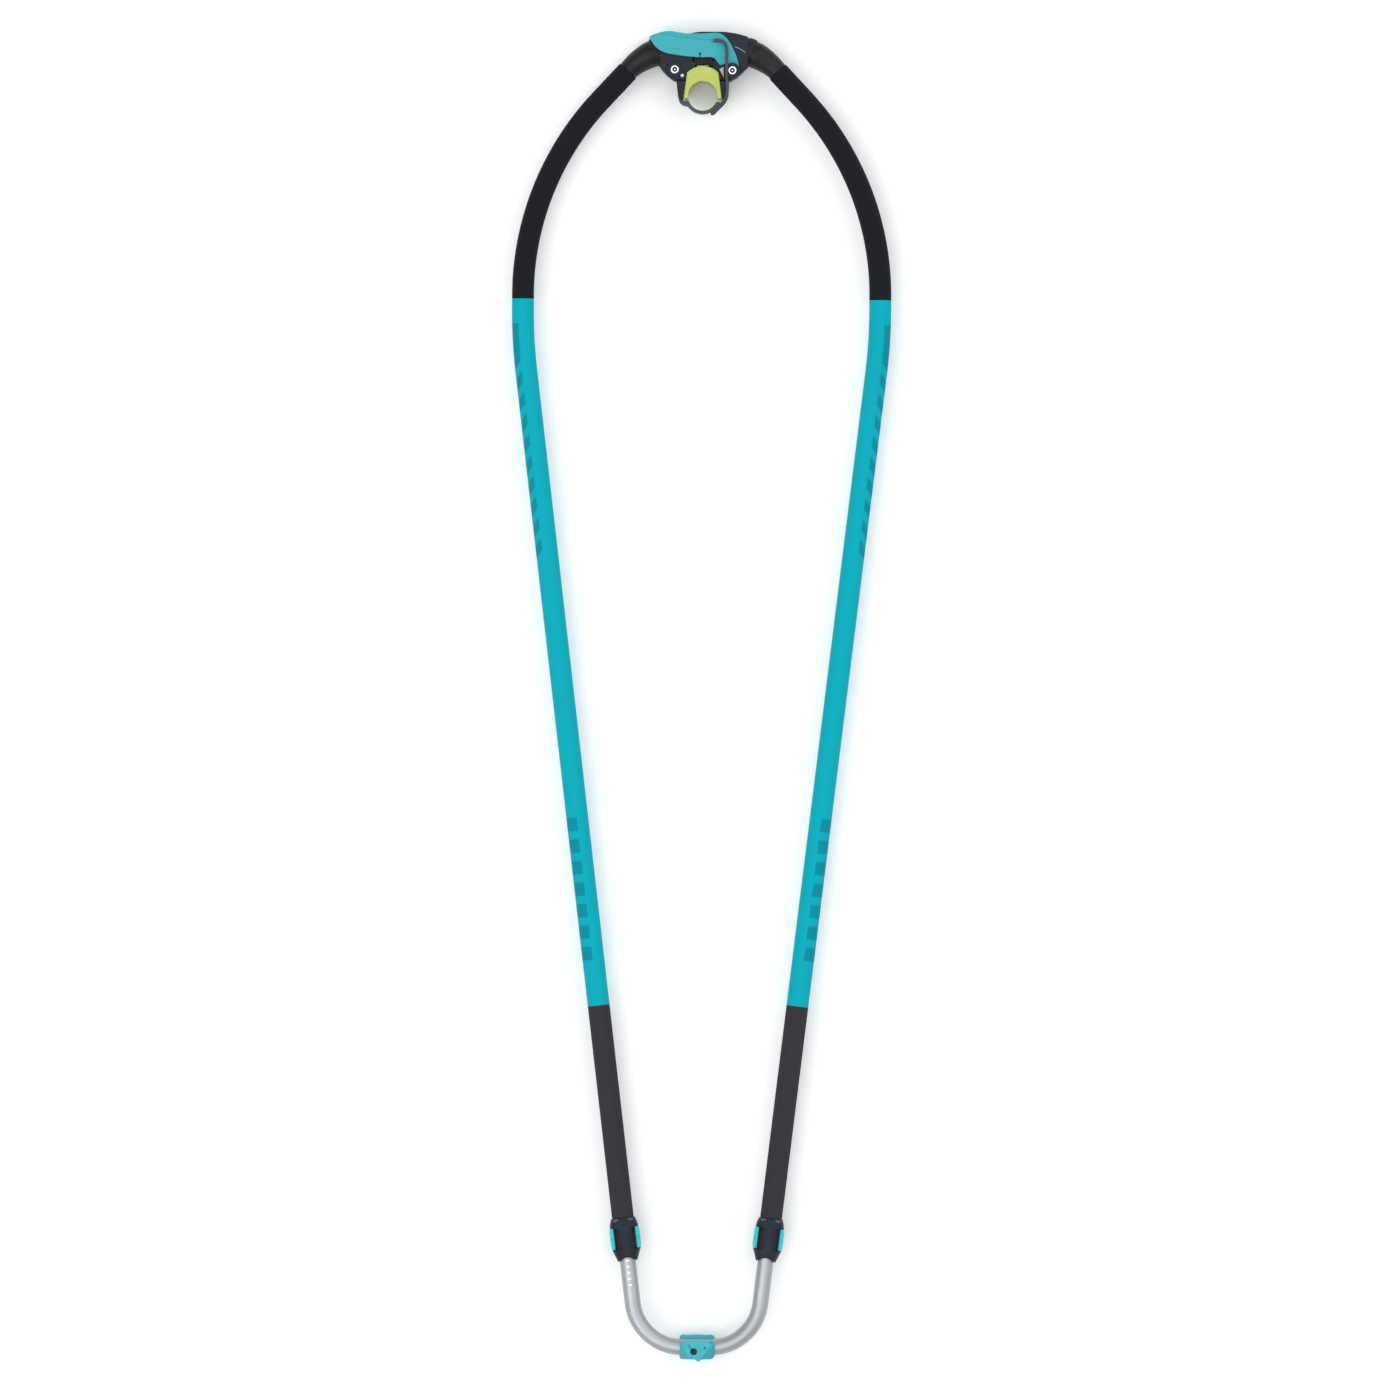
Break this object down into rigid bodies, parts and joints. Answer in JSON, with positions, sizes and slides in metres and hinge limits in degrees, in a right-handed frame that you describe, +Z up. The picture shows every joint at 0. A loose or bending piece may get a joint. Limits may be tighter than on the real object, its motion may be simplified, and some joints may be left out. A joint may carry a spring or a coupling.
{
  "type": "windsurfing boom",
  "caption": "Wishbone boom for a windsurfing rig: two curved arms with foam grips, a lever clamp for the mast and a telescopic tail with an outhaul fitting.",
  "frame": {"origin": "on the axis of the mast that the cup holds, at the cup's middle height", "axes": "+Z up along the mast, +Y forward towards the head's front, +X towards the right arm; the tail points to -Y"},
  "size_m": [0.569, 1.9939, 0.0768],
  "materials": {
    "front_tube": "gloss black, clear coated",
    "arm_tube": "black anodised",
    "grip_front": "fine textured EVA foam, matt",
    "grip_middle": "fine textured EVA foam, matt",
    "grip_rear": "fine textured EVA foam, matt",
    "head_plastic": "moulded glass filled nylon, satin",
    "jaw_plastic": "moulded glass filled nylon, satin",
    "liner_rubber": "moulded rubber, matt",
    "mast_cup": "soft moulded elastomer, satin",
    "guide_plastic": "moulded plastic, satin",
    "screw_steel": "polished stainless steel",
    "inner_steel": "stainless steel, drawn",
    "lever_plastic": "moulded nylon, satin",
    "rope": "braided polyester",
    "strap": "moulded polyurethane, satin",
    "lock_plastic": "moulded nylon, satin",
    "bush_plastic": "moulded acetal",
    "button_plastic": "moulded nylon, ribbed",
    "dark_screw": "black oxide steel",
    "tail_aluminium": "satin anodised",
    "outhaul_plastic": "moulded nylon, satin"
  },
  "bodies": {
    "boom": {"front_bend_tube": "front_tube", "arm_tube_left": "arm_tube", "arm_tube_right": "arm_tube", "grip_front_left": "grip_front", "grip_front_right": "grip_front", "grip_middle_left": "grip_middle", "grip_middle_right": "grip_middle", "grip_rear_left": "grip_rear", "grip_rear_right": "grip_rear", "head_shell_upper": "head_plastic", "head_shell_lower": "head_plastic", "head_liner": "liner_rubber", "jaw_left": "jaw_plastic", "jaw_right": "jaw_plastic", "mast_cup": "mast_cup", "cup_buffer": "liner_rubber", "jaw_rivet": "screw_steel", "rope_guide": "guide_plastic", "left_screw": "screw_steel", "left_nut": "inner_steel", "pivot_screw": "screw_steel", "pivot_nut": "inner_steel", "pivot_caps": "jaw_plastic", "clamp_rope": "rope", "mast_strap": "strap", "strap_pin": "inner_steel", "lock_housing_left": "lock_plastic", "lock_housing_right": "lock_plastic", "lock_bush_left": "bush_plastic", "lock_bush_right": "bush_plastic", "rocker_pins_left": "inner_steel", "rocker_pins_right": "inner_steel", "rocker_springs_left": "inner_steel", "rocker_springs_right": "inner_steel", "lock_screws": "dark_screw"},
    "lever": {"clamp_lever": "lever_plastic", "lever_bushes": "inner_steel"},
    "tail": {"tail_tube": "tail_aluminium", "tail_leg_left": "tail_aluminium", "tail_leg_right": "tail_aluminium", "outhaul_shell_upper": "outhaul_plastic", "outhaul_shell_lower": "outhaul_plastic", "outhaul_screw": "dark_screw", "roller_pin": "inner_steel"},
    "button_left_outer": {"rocker_left_outer": "button_plastic"},
    "button_left_inner": {"rocker_left_inner": "button_plastic"},
    "button_right_outer": {"rocker_right_outer": "button_plastic"},
    "button_right_inner": {"rocker_right_inner": "button_plastic"},
    "sheave_left": {"roller_left": "bush_plastic"},
    "sheave_right": {"roller_right": "bush_plastic"}
  },
  "joints": [
    {"name": "lever_hinge", "type": "hinge", "parent": "boom", "child": "lever", "pos_m": [0.0443, 0.0378, 0], "axis": [0, 0, -1], "range_deg": [0, 135], "deforming": ["clamp_rope"]},
    {"name": "tail_slide", "type": "slide", "parent": "boom", "child": "tail", "axis": [0, -1, 0], "range_m": [0, 0.5], "deforming": ["tail_leg_left", "tail_leg_right"]},
    {"name": "button_right_outer_press", "type": "hinge", "parent": "boom", "child": "button_right_outer", "pos_m": [0.12668, -1.71508, 0], "axis": [0, 0, 1], "range_deg": [0, 10], "stiffness_Nm_per_rad": 0.3, "springref_deg": -11.46},
    {"name": "button_right_inner_press", "type": "hinge", "parent": "boom", "child": "button_right_inner", "pos_m": [0.08815, -1.71049, 0], "axis": [0, 0, -1], "range_deg": [0, 10], "stiffness_Nm_per_rad": 0.3, "springref_deg": -11.46},
    {"name": "button_left_outer_press", "type": "hinge", "parent": "boom", "child": "button_left_outer", "pos_m": [-0.12668, -1.71508, 0], "axis": [0, 0, -1], "range_deg": [0, 10], "stiffness_Nm_per_rad": 0.3, "springref_deg": -11.46},
    {"name": "button_left_inner_press", "type": "hinge", "parent": "boom", "child": "button_left_inner", "pos_m": [-0.08815, -1.71049, 0], "axis": [0, 0, 1], "range_deg": [0, 10], "stiffness_Nm_per_rad": 0.3, "springref_deg": -11.46},
    {"name": "sheave_left_spin", "type": "hinge", "parent": "tail", "child": "sheave_left", "pos_m": [-0.012, -1.87512, -0.0206], "axis": [1, 0, 0], "continuous": true},
    {"name": "sheave_right_spin", "type": "hinge", "parent": "tail", "child": "sheave_right", "pos_m": [0.014, -1.87512, -0.0206], "axis": [1, 0, 0], "continuous": true}
  ]
}
